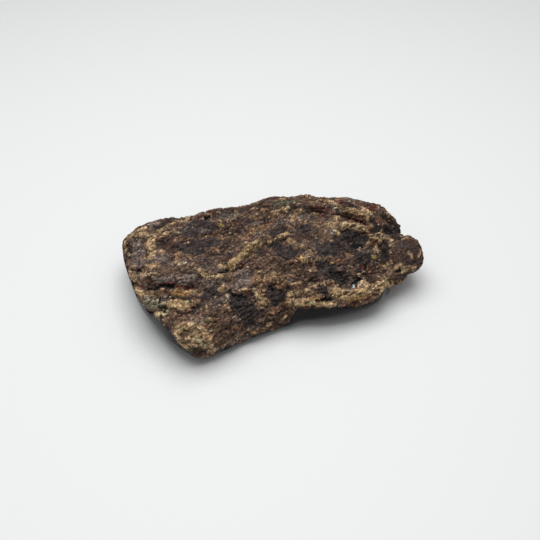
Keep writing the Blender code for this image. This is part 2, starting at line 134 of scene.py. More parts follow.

# Patches, ribs and pits of the crust: finish, half width, height, and the pixels that each runs through
# The near black marks in cracks, gaps, hollows and grooves are painted shade, and the glint marks and a few
# thin pale marks are painted highlights.
MARKS = (
    # left end: grey plate, dry edges
    ("umber", 2.6, 0, ((165, 243), (172, 248))),
    ("brown", 2, 0, ((160, 270), (172, 272), (184, 271))),
    ("slate", 2.4, -0.1, ((136, 242), (139, 250), (137, 259))),
    ("slate", 1.5, 0, ((133, 262), (140, 264))),
    ("slate", 1.7, 0, ((152, 260), (160, 258), (166, 257))),
    ("umber", 0.5, 0, ((130, 237), (136, 237), (142, 239))),
    ("tan", 0.9, 0.1, ((128, 237), (132, 233), (140, 229.5), (147, 228))),
    ("tan", 1.3, 0.1, ((132, 233.5), (138, 233.5), (145, 234.5))),
    ("slate", 1.1, 0, ((149, 226), (154, 224), (158, 222.5))),
    ("tan", 1.3, 0.15, ((152, 238), (156, 233), (161, 229.5), (166, 227))),
    ("tan", 0.9, 0.1, ((168, 224.5), (175, 222.5), (182, 221), (189, 218.5), (195, 216.5))),
    ("tan", 1.7, 0.15, ((151, 238), (150, 243), (152, 250), (152, 255))),
    ("tan", 0.9, 0.1, ((160, 250), (163, 252))),
    ("tan", 0.9, 0.1, ((161, 235), (166, 233))),
    ("tan", 0.7, 0.1, ((125.5, 240), (124.5, 246), (125.5, 252))),
    ("red", 0.45, -0.2, ((126.5, 245.5), (130, 246))),
    ("buff", 0.4, 0.1, ((128, 253), (130, 255))),
    ("umber", 0.6, 0.1, ((160, 221.5), (165, 221), (171, 221.5))),
    ("tan", 0.8, 0.15, ((185, 217.5), (190, 217.5))),
    ("umber", 0.5, -0.2, ((180, 219.5), (184, 219))),
    ("red", 0.9, 0.2, ((197, 217.5), (203, 215.5))),
    ("red", 0.5, 0.1, ((190, 219), (192, 217))),
    # painted highlight: the light's glints along the glossy chip
    ("buff", 0.22, 0.2, ((194, 222), (197, 223.5), (201, 221.5), (204, 218))),
    ("black", 0.5, -0.5, ((205.5, 218), (210, 216.5))),
    ("rust", 0.9, 0.25, ((209, 212), (214, 211.5))),
    ("rust", 0.45, 0.3, ((170.5, 226.5), (176, 224.5), (183, 225.5), (187, 228))),
    ("black", 0.6, -0.7, ((178, 229),)),
    ("buff", 0.35, 0.15, ((174, 229.5), (176, 232), (181, 232), (184, 229.5))),
    ("dark", 3, -0.1, ((190, 229), (200, 226), (208, 226))),
    ("dark", 3.2, 0, ((186, 247), (198, 247), (210, 243))),
    ("slate", 0.9, 0.1, ((186, 229), (193, 227))),
    ("slate", 0.8, 0.1, ((200, 231), (206, 229))),
    ("tan", 0.45, 0.1, ((206, 236.5),)),
    ("ochre", 0.6, 0.1, ((191, 250),)),
    ("ochre", 0.5, 0.1, ((185, 243.5), (188, 243))),
    ("ochre", 1, 0.15, ((208, 249), (213, 249.5), (216, 251))),
    ("ochre", 0.5, 0, ((191, 258.5), (193, 258))),
    ("ochre", 0.7, 0.15, ((176, 255), (176.5, 259))),
    ("tan", 0.8, 0.2, ((175, 263), (180, 264.5), (184, 262.5))),
    # painted shade in the end crack
    ("black", 0.45, -0.8, ((131, 269.5), (136, 270), (141, 271))),
    ("buff", 0.35, 0.1, ((129.5, 270.5), (133, 272.5))),
    ("tan", 0.8, 0.15, ((147, 264), (151, 267), (158, 265.5))),
    ("tan", 0.7, 0.15, ((133.5, 276.5), (140, 275), (148, 273.5), (155, 273))),
    ("tan", 0.9, 0.1, ((134.5, 279), (138, 283))),
    # ledge and shelf
    ("umber", 1.4, -0.1, ((146, 279), (151, 282))),
    ("red", 0.6, -0.2, ((147, 279), (151, 281))),
    ("red", 0.4, -0.4, ((134.5, 284), (138, 285.5), (142, 287))),
    ("slate", 1.7, 0.1, ((157, 279), (164, 281), (170, 280))),
    ("slate", 1.6, 0, ((176, 280.5), (186, 278), (192, 276.5))),
    ("red", 0.5, 0, ((165, 283), (172, 283))),
    # painted shade along the crack under the overhanging ledge
    ("black", 0.48, -0.6, ((147, 289.5), (153, 289.5), (158, 288), (163, 286), (168, 285.5), (173, 286.5))),
    ("red", 0.4, -0.5, ((176, 286.6), (186, 287.7), (197, 288.7))),
    ("tan", 1.2, 0.2, ((136, 288), (140, 292), (143, 296))),
    ("tan", 0.9, 0.25, ((148, 293), (156, 291.5), (162, 290.5))),
    ("ochre", 0.8, 0.1, ((152, 295), (158, 293.5))),
    ("rust", 0.8, 0.2, ((163, 292), (167, 292), (170, 293.5))),
    ("honey", 1.7, 0.35, ((176, 292), (181, 292.5), (185, 294))),
    ("tan", 1.3, 0.3, ((188, 292.5), (194, 291.5))),
    ("black", 0.5, -0.6, ((168, 297), (171, 298.5), (175, 299))),
    ("olive", 2, 0.3, ((147, 301), (153, 303), (157, 304))),
    ("olive", 0.9, 0.3, ((149, 307.5), (156, 307))),
    ("slate", 0.9, 0.1, ((163, 298), (168, 297))),
    ("black", 0.4, -0.6, ((159.5, 301), (161, 298))),
    ("buff", 0.55, 0.3, ((163, 303), (166, 303))),
    ("black", 0.8, -0.9, ((162, 307.5), (166.5, 309))),
    ("sand", 1.7, 0.4, ((172, 303), (178, 304), (184, 305))),
    ("tan", 1, 0.4, ((170, 309.5), (178, 309))),
    ("buff", 0.85, 0.45, ((155.5, 314), (160, 314), (167, 313))),
    ("black", 0.4, -0.4, ((161.5, 316),)),
    ("black", 0.6, -0.6, ((149.5, 311.5), (152.5, 313))),
    ("buff", 0.6, 0.3, ((164.5, 321), (167, 322.5))),
    ("brown", 2.8, 0, ((174, 318), (182, 320), (180, 326))),
    ("umber", 1, -0.1, ((177, 315), (183, 314))),
    # front left corner
    ("umber", 1.2, 0.1, ((166, 324), (171, 329))),
    ("tan", 1.5, 0.3, ((175, 333), (180, 340), (186, 346))),
    ("tan", 2.6, 0.35, ((181, 331), (190, 330), (199, 333))),
    ("tan", 2.2, 0.3, ((192, 339), (200, 341), (206, 344))),
    ("tan", 1.2, 0.3, ((205, 333), (209, 338))),
    ("tan", 1.3, 0.2, ((211, 350), (216, 351))),
    ("brown", 0.9, -0.3, ((182, 335), (186, 334))),
    ("brown", 0.9, -0.3, ((184, 343), (189, 341))),
    ("umber", 0.6, -0.3, ((201, 336), (203, 340))),
    ("buff", 0.5, 0.35, ((198.5, 329), (200, 330))),
    ("buff", 0.5, 0.3, ((193, 338), (198, 339.5), (203, 338.5))),
    ("buff", 0.5, 0.3, ((177, 333), (180, 336))),
    ("buff", 0.5, 0.3, ((194, 344.5), (197, 346))),
    ("buff", 0.5, 0.3, ((203, 347), (205, 345))),
    ("buff", 0.5, 0.3, ((212, 344), (211, 347))),
    ("umber", 1.3, 0, ((190, 352), (198, 352), (203, 354))),
    ("olive", 0.8, 0.1, ((187, 348.5), (192, 349.5))),
    ("ochre", 0.7, 0.1, ((206, 335), (208, 341))),
    # upper left and middle
    ("umber", 1.2, 0, ((224, 209), (236, 209), (248, 207))),
    ("slate", 1.6, 0, ((222, 216), (228, 219))),
    ("olive", 0.8, 0.15, ((231, 216), (236, 214.5), (239, 214))),
    ("rust", 0.4, 0.1, ((241, 215),)),
    ("tan", 0.8, 0.2, ((251, 216.5), (253, 217))),
    ("ochre", 0.8, 0.15, ((256, 217.5), (260, 218))),
    ("buff", 0.3, 0.1, ((252, 209), (254, 208.5))),
    ("yellow", 0.55, 0.25, ((220.5, 225), (222, 225.5))),
    ("tan", 0.4, 0.1, ((236, 233.5),)),
    ("tan", 0.35, 0.1, ((230.5, 232),)),
    ("ochre", 0.9, 0.15, ((232.5, 238), (235, 239.5))),
    ("ochre", 0.9, 0.15, ((239, 236), (242, 238.5))),
    ("rust", 0.5, 0, ((246, 240.5), (250, 240))),
    ("ochre", 1.2, 0.15, ((250, 231.5), (257, 229.5), (263, 227.5))),
    ("rust", 1.1, 0.2, ((267, 224.5), (270, 226))),
    ("tan", 0.7, 0.35, ((268.5, 225.5),)),
    ("red", 0.5, 0, ((266, 222), (272, 222.5))),
    ("tan", 0.3, 0.2, ((261, 230.5), (268, 229.5))),
    ("dark", 1.2, -0.2, ((264, 233), (272, 232), (282, 230.5))),
    ("ochre", 1.3, 0.15, ((264, 210), (270, 212), (278, 211), (286, 208.5))),
    ("tan", 0.7, 0.2, ((273, 211.5), (280, 209.5), (288, 207.5))),
    ("ochre", 0.6, 0.1, ((264.5, 215),)),
    ("ochre", 0.9, 0.1, ((296, 212), (302, 210))),
    ("tan", 0.5, 0.2, ((300, 209.5), (303, 211))),
    ("tan", 0.8, 0.1, ((291, 217), (293, 221))),
    ("moss", 2, 0, ((276, 203), (286, 202), (296, 201))),
    ("moss", 0.9, 0, ((280, 197.5), (286, 197))),
    ("red", 0.5, 0.1, ((268, 198.5), (275, 198))),
    ("rust", 0.5, 0.1, ((212, 219), (217, 221))),
    ("slate", 0.8, 0, ((220, 257.5), (224, 257))),
    ("rust", 0.7, 0.1, ((224, 259), (231, 257.5))),
    ("brown", 0.8, 0.1, ((217, 257), (219, 260))),
    ("tan", 1.2, 0.25, ((218, 263.5), (224, 266.5))),
    ("ochre", 0.7, 0.15, ((224, 249), (227, 251))),
    # painted shade in the hole and the crack at the finger's lower end
    ("pit", 0.75, -1, ((226, 271), (229.5, 268.5), (231, 265.5))),
    ("black", 0.5, -0.8, ((216.5, 273.5), (222, 271.5))),
    ("tan", 0.85, 0.45, ((199.5, 270), (203, 275), (210, 277.5), (217, 276.5), (224, 276))),
    ("ochre", 0.9, 0.1, ((203, 271), (211, 272))),
    # raised finger and what lies around it
    ("buff", 0.6, 0.5, ((254, 244), (259, 241.5))),
    ("red", 0.4, -0.3, ((242, 252), (248, 247.5))),
    ("red", 0.4, -0.6, ((234, 271.5), (240, 267.5), (247, 262.5))),
    # painted shade along the finger's lower edge
    ("black", 0.45, -0.7, ((236, 270), (243, 266))),
    ("dark", 1.4, -0.4, ((257, 251.5), (262, 253))),
    ("black", 0.5, -0.7, ((255, 257.5), (260, 257.5), (263, 254.5))),
    ("sand", 1.35, 0.8, ((231, 267), (236, 260.5), (242, 255), (248, 250))),
    ("sand", 1.25, 0.7, ((249, 249), (254, 245), (260, 242))),
    ("rust", 0.4, 0.1, ((264, 253), (267, 250.5))),
    ("tan", 0.9, 0.2, ((268.5, 236.5), (270.5, 240.5))),
    ("tan", 0.9, 0.25, ((276, 240.5), (281, 236.5), (286, 234))),
    ("ochre", 0.5, 0.1, ((277, 237.5), (279, 239.5))),
    ("tan", 1, 0.2, ((288, 240), (293, 242.5))),
    ("tan", 0.6, 0.1, ((265, 243), (269, 248))),
    ("brown", 1.6, 0, ((262, 238), (267, 245), (272, 250))),
    ("tan", 0.4, 0.1, ((289, 234.5), (294, 233.5))),
    ("dark", 2.3, -0.4, ((277, 246.5), (285, 250.5), (290, 255))),
    ("black", 0.5, -0.6, ((280, 255), (287, 258.5))),
    ("rust", 0.4, 0.2, ((272, 251), (276, 254))),
    ("sand", 1.2, 0.4, ((301, 257.5), (305, 260))),
    ("ochre", 0.9, 0.2, ((312, 262.5), (318, 263.5))),
    ("brown", 0.9, 0.1, ((309, 267.5),)),
    ("tan", 0.5, 0.25, ((300, 243.5), (305, 247.5), (312, 252))),
    ("brown", 3.2, 0.1, ((262, 262), (271, 262), (280, 265))),
    ("brown", 2.2, 0.1, ((294, 266), (300, 275))),
    ("ochre", 2, 0.25, ((273, 277), (279, 279), (283, 281.5))),
    ("tan", 0.7, 0.3, ((271.5, 276), (274, 274))),
    ("rust", 0.6, 0, ((275, 284), (280, 286))),
    ("ochre", 1.7, 0.25, ((257, 276), (261, 284), (263, 292), (262, 299))),
    ("tan", 1, 0.35, ((261, 300), (262, 306))),
    ("tan", 0.6, 0.2, ((257, 272), (261, 271))),
    ("buff", 0.5, 0.3, ((254, 289.5), (257, 296))),
    ("tan", 0.7, 0.3, ((240, 290.5), (246, 289.5))),
    ("red", 0.4, -0.2, ((243, 291), (248, 292.5), (252, 295))),
    ("slate", 2.2, 0, ((241, 273), (246, 279), (240, 284))),
    ("slate", 0.9, 0.1, ((212, 284.5), (215, 285))),
    ("dark", 1.9, -0.3, ((207, 294), (213, 292), (219, 290))),
    ("brown", 1.6, 0, ((228, 277), (234, 280))),
    ("tan", 0.8, 0.15, ((220, 289), (223, 288.5))),
    ("tan", 0.6, 0.15, ((222.5, 285.5),)),
    ("buff", 0.5, 0.35, ((226.5, 296), (229, 299.5))),
    ("buff", 0.5, 0.35, ((228, 303),)),
    ("tan", 0.8, 0.25, ((229, 308), (231, 310))),
    ("brown", 0.9, 0.1, ((206, 301), (210, 304))),
    ("dark", 3.2, -0.1, ((238, 303), (247, 309), (250, 317))),
    ("black", 0.4, -0.4, ((231, 293.5), (238, 296), (246, 297.5))),
    ("brown", 1.4, 0, ((212, 311), (220, 314), (228, 317))),
    ("tan", 0.5, 0.15, ((208, 317), (211, 321))),
    ("brown", 1.2, 0.1, ((225, 322), (232, 324))),
    ("ochre", 0.8, 0.15, ((236, 327), (241, 326))),
    ("rust", 0.5, 0, ((234, 329.5), (238, 330))),
    ("brown", 2, 0, ((218, 330), (226, 336), (222, 342))),
    ("ochre", 0.5, 0.2, ((230, 340.5), (237, 337.5))),
    # front edge
    ("dark", 2.2, -0.3, ((271, 292), (276, 300), (284, 297))),
    ("black", 0.5, -0.4, ((270, 286), (273, 291))),
    ("brown", 0.5, 0.5, ((258, 321.5), (268, 318.5), (278, 315.5), (290, 311.5))),
    ("ochre", 0.8, 0.3, ((253, 333), (258, 331.5))),
    ("ochre", 0.6, 0.3, ((261, 328.5), (266, 327.5))),
    ("tan", 0.7, 0.2, ((268, 324.5), (271, 323))),
    ("slate", 0.5, 0.1, ((276, 319), (279, 321))),
    ("tan", 0.6, 0.2, ((282, 319), (286, 316))),
    ("tan", 0.9, 0.25, ((289, 295), (297, 293), (305, 291))),
    ("tan", 1.4, 0.35, ((288, 302.5), (296, 301.5), (304, 301.5))),
    ("ochre", 1, 0.2, ((282, 303), (290, 306))),
    ("umber", 0.5, -0.4, ((296, 297), (304, 295.5))),
    ("tan", 0.9, 0.3, ((300, 293.5), (308, 290.5), (311, 293))),
    ("tan", 0.8, 0.2, ((310, 285.5), (318, 286.5), (324, 285))),
    ("tan", 0.8, 0.2, ((292, 283.5), (300, 283))),
    ("tan", 1.2, 0.35, ((302, 302), (312, 301), (322, 303.5), (334, 304))),
    ("ochre", 0.9, 0.2, ((316, 297), (326, 297))),
    ("black", 0.48, -0.8, ((316, 301), (320, 301.5), (325, 299.5), (332, 300))),
    ("tan", 0.6, 0.1, ((325, 303.5), (335, 303))),
    ("dark", 1.6, -0.3, ((322, 289.5), (328, 293))),
    ("tan", 2, 0.45, ((334, 291.5), (342, 293.5), (350, 295.5), (358, 293.5), (366, 291))),
    ("sand", 1.3, 0.2, ((338, 292), (344, 294), (351, 296.5), (359, 295), (367, 291.5))),
    ("sand", 0.9, 0.2, ((304, 302), (312, 303), (320, 305))),
    ("sand", 0.8, 0.2, ((380, 282), (386, 283.5))),
    ("tan", 0.8, 0.2, ((333, 280.5), (338, 284.5))),
    ("tan", 1.4, 0.4, ((363, 281), (365, 286.5))),
    ("ochre", 0.9, 0.3, ((345, 302.5), (352, 299.5), (362, 297.5), (372, 295.5))),
    ("honey", 0.3, 0.1, ((349, 300.5), (356, 298.5), (363, 297.5))),
    ("tan", 1.5, 0.35, ((370, 288.5), (377, 289), (382, 288.5))),
    ("tan", 1.7, 0.35, ((380, 281), (386, 282), (389, 284.5))),
    ("red", 0.4, -0.2, ((371, 295.5), (378, 294.5))),
    ("umber", 1.5, -0.1, ((371, 279.5), (376, 278))),
    ("pit", 1, -0.7, ((354.5, 286.5), (357.5, 282.5))),
    ("red", 0.7, -0.3, ((347, 287.5),)),
    ("black", 0.45, -0.5, ((349.5, 286.5),)),
    ("pit", 0.4, -0.5, ((345.5, 292), (348, 291.5))),
    ("pit", 0.5, -0.6, ((357.5, 277.5), (360, 280))),
    # painted highlights: the light's glints in the wet pit
    ("glint", 0.3, 0.35, ((358.6, 281.6),)),
    ("glint", 0.24, 0.3, ((360, 285.5),)),
    ("glint", 0.28, 0.35, ((353.6, 284.6), (353.2, 287))),
    ("glint", 0.26, 0.25, ((348.5, 289.5),)),
    ("red", 1.1, -0.2, ((362, 266), (368, 267), (370, 271))),
    ("black", 0.4, -0.7, ((365, 264.5), (367, 270))),
    ("black", 0.4, -0.7, ((362, 272), (366, 274))),
    ("buff", 0.3, 0.1, ((358.5, 274), (362, 272.8))),
    # painted highlights on the red resin
    ("buff", 0.14, 0.15, ((366.5, 267), (367.5, 268.5))),
    ("buff", 0.14, 0.15, ((369, 271.5), (370, 271))),
    # middle hollow and back band
    ("dark", 2.6, -0.2, ((322, 268), (333, 272), (340, 278))),
    # painted shade in the middle hollow
    ("hollow_shade", 1.5, -0.4, ((333, 271), (339, 275))),
    ("brown", 0.8, 0.1, ((343, 260), (346, 263))),
    ("brown", 2.2, 0.1, ((314, 230), (320, 234), (326, 238))),
    ("brown", 1.4, 0.1, ((326, 253), (332, 256))),
    ("rust", 0.45, 0.1, ((326, 242),)),
    ("brown", 1.2, 0.1, ((352, 270), (354, 274))),
    ("dark", 1.4, 0, ((302, 228), (308, 227.5))),
    ("dark", 2.6, 0, ((322, 250), (334, 246))),
    ("dark", 3, -0.3, ((344, 234), (352, 238), (360, 240))),
    ("black", 1, -0.3, ((354, 246), (362, 245))),
    ("dark", 2, 0, ((358, 254), (366, 258))),
    ("red", 0.5, 0.1, ((307, 198), (312, 198))),
    ("umber", 1, 0, ((318, 198.5), (330, 200))),
    ("ochre", 1.2, 0.15, ((311, 202), (316, 200.5), (322, 199))),
    ("tan", 0.5, 0.2, ((311, 203.5), (316, 203.5))),
    ("red", 1, 0.25, ((312, 206.5), (318, 208.5), (327, 210.5))),
    ("rust", 0.6, 0.2, ((312, 206), (316, 207.5))),
    ("black", 0.4, -0.5, ((308, 212.5), (316, 212.5), (324, 213))),
    ("tan", 0.6, 0.2, ((312, 214), (317, 214))),
    ("red", 0.7, 0, ((321, 216), (326, 216))),
    ("pit", 0.9, -1, ((325, 202), (329.5, 204.5))),
    ("tan", 1.1, 0.25, ((327, 199.5), (333, 202.5), (339, 206))),
    ("red", 0.9, 0.15, ((340, 201.5), (344, 203.5))),
    ("umber", 1.6, 0.1, ((346, 203), (352, 204.5))),
    ("rust", 0.9, 0.1, ((356, 203.5), (364, 204.5))),
    ("tan", 1.5, 0.35, ((343, 208.5), (352, 209.5), (362, 211.5), (372, 214))),
    ("ochre", 0.9, 0.1, ((349, 211.5), (357, 213.5))),
    ("tan", 1.2, 0.1, ((362, 207), (368, 217))),
    ("brown", 0.5, 0.2, ((322, 213.5), (334, 213.5))),
    ("red", 0.45, -0.9, ((333, 214.5), (342, 217), (350, 218.5), (358, 221.5), (367, 224))),
    ("ochre", 1.6, 0.3, ((335, 219), (340, 219))),
    ("tan", 1.2, 0.45, ((326, 225.5), (333, 223), (337, 219))),
    ("tan", 1.2, 0.3, ((335, 228), (337, 232))),
    ("tan", 1.3, 0.45, ((343, 225.5), (352, 225.5), (360, 228), (368, 231))),
    ("buff", 0.5, 0.3, ((343, 225), (349, 224.5))),
    ("rust", 0.7, 0.1, ((368, 228.5), (371, 234))),
    ("rust", 0.5, 0, ((362, 231), (366, 233.5))),
    # right end and knob
    ("red", 1.2, 0.15, ((369, 210.5), (374, 206.5))),
    ("brown", 1.7, 0.1, ((380, 211), (388, 213.5))),
    ("tan", 0.5, 0.2, ((386, 212.5), (390, 214.5))),
    ("rust", 0.7, 0.15, ((380, 217.5), (385, 222))),
    ("umber", 1.6, 0, ((392, 219), (396, 226))),
    # painted shade in the dark groove
    ("hollow_shade", 1.2, -0.4, ((385, 218), (390, 221))),
    ("hollow_shade", 1.6, -0.4, ((374, 222.5), (380, 226), (374, 231))),
    ("black", 0.6, -0.4, ((376, 224), (379, 226))),
    # painted highlights: two glints
    ("buff", 0.28, 0.3, ((379, 223.5),)),
    ("buff", 0.28, 0.3, ((389, 220.5),)),
    ("rust", 0.4, 0.1, ((384, 225), (383, 228))),
    # painted shade on the shaded slope from the slab's end down to the knob
    ("hollow_shade", 2.2, -0.1, ((387, 229.5), (395, 231.5), (400, 229))),
    ("hollow_shade", 1.3, 0.9, ((398, 230),)),
    ("black", 0.9, -0.2, ((386, 228), (392, 230.5))),
    ("tan", 1.2, 0.65, ((372, 237.5), (378, 235.5), (382, 235.5))),
    ("tan", 1, 0.5, ((379, 239.5), (380, 242.5))),
    ("tan", 0.45, 0.35, ((384, 238), (388, 239), (392, 240.5))),
    ("rust", 0.7, 0.1, ((371, 245), (376, 242))),
    ("tan", 0.7, 0.3, ((376, 246), (377, 249.5), (378, 252))),
    ("yellow", 0.85, 0.7, ((374.5, 257),)),
    # painted shade in the groove between the slab and the knob
    ("hollow_shade", 1.8, -0.2, ((384, 246.5), (385, 253), (384, 260))),
    ("black", 0.6, -0.2, ((383.5, 249), (384, 253))),
    ("umber", 3.4, 0, ((404, 246), (414, 250))),
    ("umber", 3.2, 0, ((404, 242), (412, 245), (418, 250), (416, 258))),
    ("dark", 0.9, -0.1, ((411, 250), (416, 253))),
    ("umber", 2, 0, ((396, 254), (402, 258))),
    ("dark", 1.2, -0.1, ((401, 247), (408, 245))),
    ("tan", 0.4, 0.15, ((409, 252), (412, 257))),
    ("tan", 0.6, 0.15, ((420.5, 251), (419, 256))),
    ("tan", 0.7, 0.15, ((396, 267.5), (401, 264.5))),
    ("tan", 0.6, 0.15, ((402, 271.5), (407, 269.5))),
    ("tan", 0.5, 0.1, ((412, 268), (416, 267))),
    ("black", 0.6, -0.5, ((396.5, 271.5), (400, 270.5))),
    ("dark", 0.9, -0.3, ((406, 262), (413, 264))),
    # painted shade below the shaded slope
    ("hollow_shade", 1, 0, ((396, 236.5), (400, 238))),
    ("tan", 0.35, 0.2, ((402, 239), (408, 238))),
    ("tan", 0.6, 0.15, ((382, 266), (387, 264.5))),
    ("brown", 2, 0, ((380, 270.5), (388, 271))),
    ("buff", 0.4, 0.2, ((378, 276.5), (380, 277.5))),
)

# The soft light, in metres and watts, and how bright the camera sees the backdrop
LIGHT_PLACE = Vector((-0.02, 0.05, 0.5))
LIGHT_TARGET = Vector((0.0, -0.1, 0.0))
LIGHT_WIDTH = 0.5
LIGHT_POWER = 2.5
BACKDROP_STRENGTH = 0.4

# The crust's streaks run along the piece, a little turned, and are drawn out this much
FLOW_TURN = math.radians(14.0)
FLOW_STRETCH = 2.4
FLOW = np.array(
    (
        (math.cos(FLOW_TURN) / FLOW_STRETCH, -math.sin(FLOW_TURN), 0.0),
        (math.sin(FLOW_TURN) / FLOW_STRETCH, math.cos(FLOW_TURN), 0.0),
        (0.0, 0.0, 1.0),
    )
)

# Noise in the crust, from broad stains to single specks: width, octaves and place
BROAD_NOISE = (6.0, 3, 3.1)
MIDDLE_NOISE = (2.2, 3, 11.4)
SMALL_NOISE = (0.8, 3, 5.3)
TINY_NOISE = (0.5, 2, 8.8)
RIDGE_NOISE = (1.3, 2, 31.0)
SEAM_NOISE = (1.6, 3, 14.2)
BEND_WIDTH = 2.4
POCK_DEPTH = 0.45
RELIEF_LIMIT = 1.4
CRUST_GRID = 0.3
CRUST_TRIANGLES = 190000

# How high the ground face shows under the crust: turn about the middle in degrees, height
CRUST_EDGE = (
    (150, 40), (179, 40), (182, 12.3), (186, 12.2), (190, 11.8), (193, 11.8), (196, 12.3),
    (199, 12.6), (203, 12.3), (206, 12.1), (208, 11.6), (209.6, 10.8), (210.6, 9.3), (212.4, 7.9),
    (214.8, 7.2), (217, 6.7), (224, 6.5), (232, 40),
    (260, 40), (264, 9.0), (271, 9.6), (279, 9.3), (285, 9.5), (291, 10.0), (300, 10.1), (306, 40),
)
# The seam: how near the ground form its face begins, how ragged that is, and the lip of crust along it
SEAM_GAP = 0.28
SEAM_WANDER = 0.12
SEAM_LIP = 0.22
FLAT_TOP = 0.06
RIM_FOOT = 1.6

# The knob is worn smoother than the rest: its middle, how far the wear reaches, and how much it takes away
CALM_MIDDLE = np.array((41.0, -9.0, 10.0))
CALM_REACH = 9.5
CALM_SHARE = 0.5

CRUMBS = 5000
CRUMB_SEED = 11
CRUMB_SIZE = 0.23
CRUMB_FOOT = 2.0
# Crumbs take the crust's colour under them; the palest is capped so that a crumb on a painted glint is not
# white
PALEST_CRUMB = 0.42

# The piece's materials, in the order of their slots
CRUST, GROUND, BARE, RIM = range(4)
GROUND_TINT = 0.01
BARE_RESIN_GLOSS = 0.42
SPECK_SCALE = 2700.0
BUMP_SCALE = 2400.0
RESIN_IOR = 1.54
RESIN_DENSITY = 900.0


class AmberSizes(bpy.types.PropertyGroup):
    """The lengths that shape the crust."""

    grain: bpy.props.FloatProperty(
        name="Grain", description="Width of the crust's grains", default=0.7 * MM, subtype="DISTANCE"
    )
    grain_height: bpy.props.FloatProperty(
        name="Grain height", description="How far grains stand out", default=0.13 * MM, subtype="DISTANCE"
    )
    plate: bpy.props.FloatProperty(
        name="Plate", description="Width of the small broken plates", default=2.1 * MM, subtype="DISTANCE"
    )
    plate_height: bpy.props.FloatProperty(
        name="Plate height", description="How far plates stand out", default=0.34 * MM, subtype="DISTANCE"
    )
    rough_height: bpy.props.FloatProperty(
        name="Roughness", description="Height of the uneven surface", default=0.28 * MM, subtype="DISTANCE"
    )
    ridge_height: bpy.props.FloatProperty(
        name="Ridges", description="Height of the fine streaks", default=0.3 * MM, subtype="DISTANCE"
    )


class AmberColours(bpy.types.PropertyGroup):
    """The colours of the crust's finishes and of the stage."""

    tan: bpy.props.FloatVectorProperty(
        name="Tan", description="Dry tan crust", default=(0.509, 0.342, 0.188), subtype="COLOR"
    )
    sand: bpy.props.FloatVectorProperty(
        name="Sand", description="Even dry crust", default=(0.479, 0.314, 0.162), subtype="COLOR"
    )
    buff: bpy.props.FloatVectorProperty(
        name="Buff", description="Pale dry flakes", default=(0.658, 0.503, 0.296), subtype="COLOR"
    )
    ochre: bpy.props.FloatVectorProperty(
        name="Ochre", description="Warm tan crust", default=(0.296, 0.168, 0.084), subtype="COLOR"
    )
    rust: bpy.props.FloatVectorProperty(
        name="Rust", description="Orange brown resin", default=(0.144, 0.048, 0.020), subtype="COLOR"
    )
    red: bpy.props.FloatVectorProperty(
        name="Red", description="Dark red resin", default=(0.089, 0.013, 0.007), subtype="COLOR"
    )
    umber: bpy.props.FloatVectorProperty(
        name="Umber", description="Dark brown crust", default=(0.074, 0.042, 0.030), subtype="COLOR"
    )
    brown: bpy.props.FloatVectorProperty(
        name="Brown", description="Mid brown crust", default=(0.156, 0.095, 0.063), subtype="COLOR"
    )
    slate: bpy.props.FloatVectorProperty(
        name="Slate", description="Grey crust", default=(0.195, 0.147, 0.122), subtype="COLOR"
    )
    dark: bpy.props.FloatVectorProperty(
        name="Dark", description="Blue black crust", default=(0.053, 0.040, 0.038), subtype="COLOR"
    )
    # Painted shade: a near black laid into the deep hollows, the grooves and the shaded slope by the knob
    hollow_shade: bpy.props.FloatVectorProperty(
        name="Soot", description="Sooty crust", default=(0.019, 0.014, 0.012), subtype="COLOR"
    )
    # Painted highlight: the pale colour of the light's glints on wet resin
    glint: bpy.props.FloatVectorProperty(
        name="Glint", description="Wet glint", default=(0.839, 0.839, 0.807), subtype="COLOR"
    )
    # Painted shade in cracks, gaps and pits, with a few dark specks
    black: bpy.props.FloatVectorProperty(
        name="Black", description="Nearly black crust", default=(0.005, 0.004, 0.004), subtype="COLOR"
    )
    # Dark wet resin in pits, darkened further as painted shade of the hollow
    pit: bpy.props.FloatVectorProperty(
        name="Pit", description="Wet black pit", default=(0.002, 0.002, 0.002), subtype="COLOR"
    )
    olive: bpy.props.FloatVectorProperty(
        name="Olive", description="Grey green crust", default=(0.231, 0.198, 0.133), subtype="COLOR"
    )
    moss: bpy.props.FloatVectorProperty(
        name="Moss", description="Dull green crust", default=(0.107, 0.095, 0.058), subtype="COLOR"
    )
    honey: bpy.props.FloatVectorProperty(
        name="Honey", description="Honey resin", default=(0.392, 0.209, 0.068), subtype="COLOR"
    )
    yellow: bpy.props.FloatVectorProperty(
        name="Yellow", description="Pale yellow nodule", default=(0.591, 0.434, 0.138), subtype="COLOR"
    )
    resin_depth: bpy.props.FloatVectorProperty(
        name="Resin depth",
        description="What light keeps through the resin",
        default=(0.620, 0.120, 0.020),
        subtype="COLOR",
    )
    # Near black with a weak reflection: dark resin, and painted shade for the shaded floor that the polished
    # rim reflects
    rim: bpy.props.FloatVectorProperty(
        name="Rim", description="Dark skin of the ground rim", default=(0.006, 0.005, 0.006), subtype="COLOR"
    )
    floor: bpy.props.FloatVectorProperty(
        name="Floor", description="Pale floor", default=(0.720, 0.730, 0.730), subtype="COLOR"
    )
    studio: bpy.props.FloatVectorProperty(
        name="Studio", description="Light of the studio", default=(1.000, 1.000, 1.000), subtype="COLOR"
    )


def read_sizes():
    """The lengths in millimetres, by name."""
    sizes = bpy.context.scene.amber_sizes
    return {name: getattr(sizes, name) / MM for name in AmberSizes.__annotations__}


def read_colour(name):
    """One finish's colour as a row of three numbers."""
    return np.array(getattr(bpy.context.scene.amber_colours, name))


def ease(low, high, values):
    """0 below low, 1 above high and a soft step between them."""
    share = np.clip((values - low) / (high - low), 0.0, 1.0)
    return share * share * (3.0 - 2.0 * share)


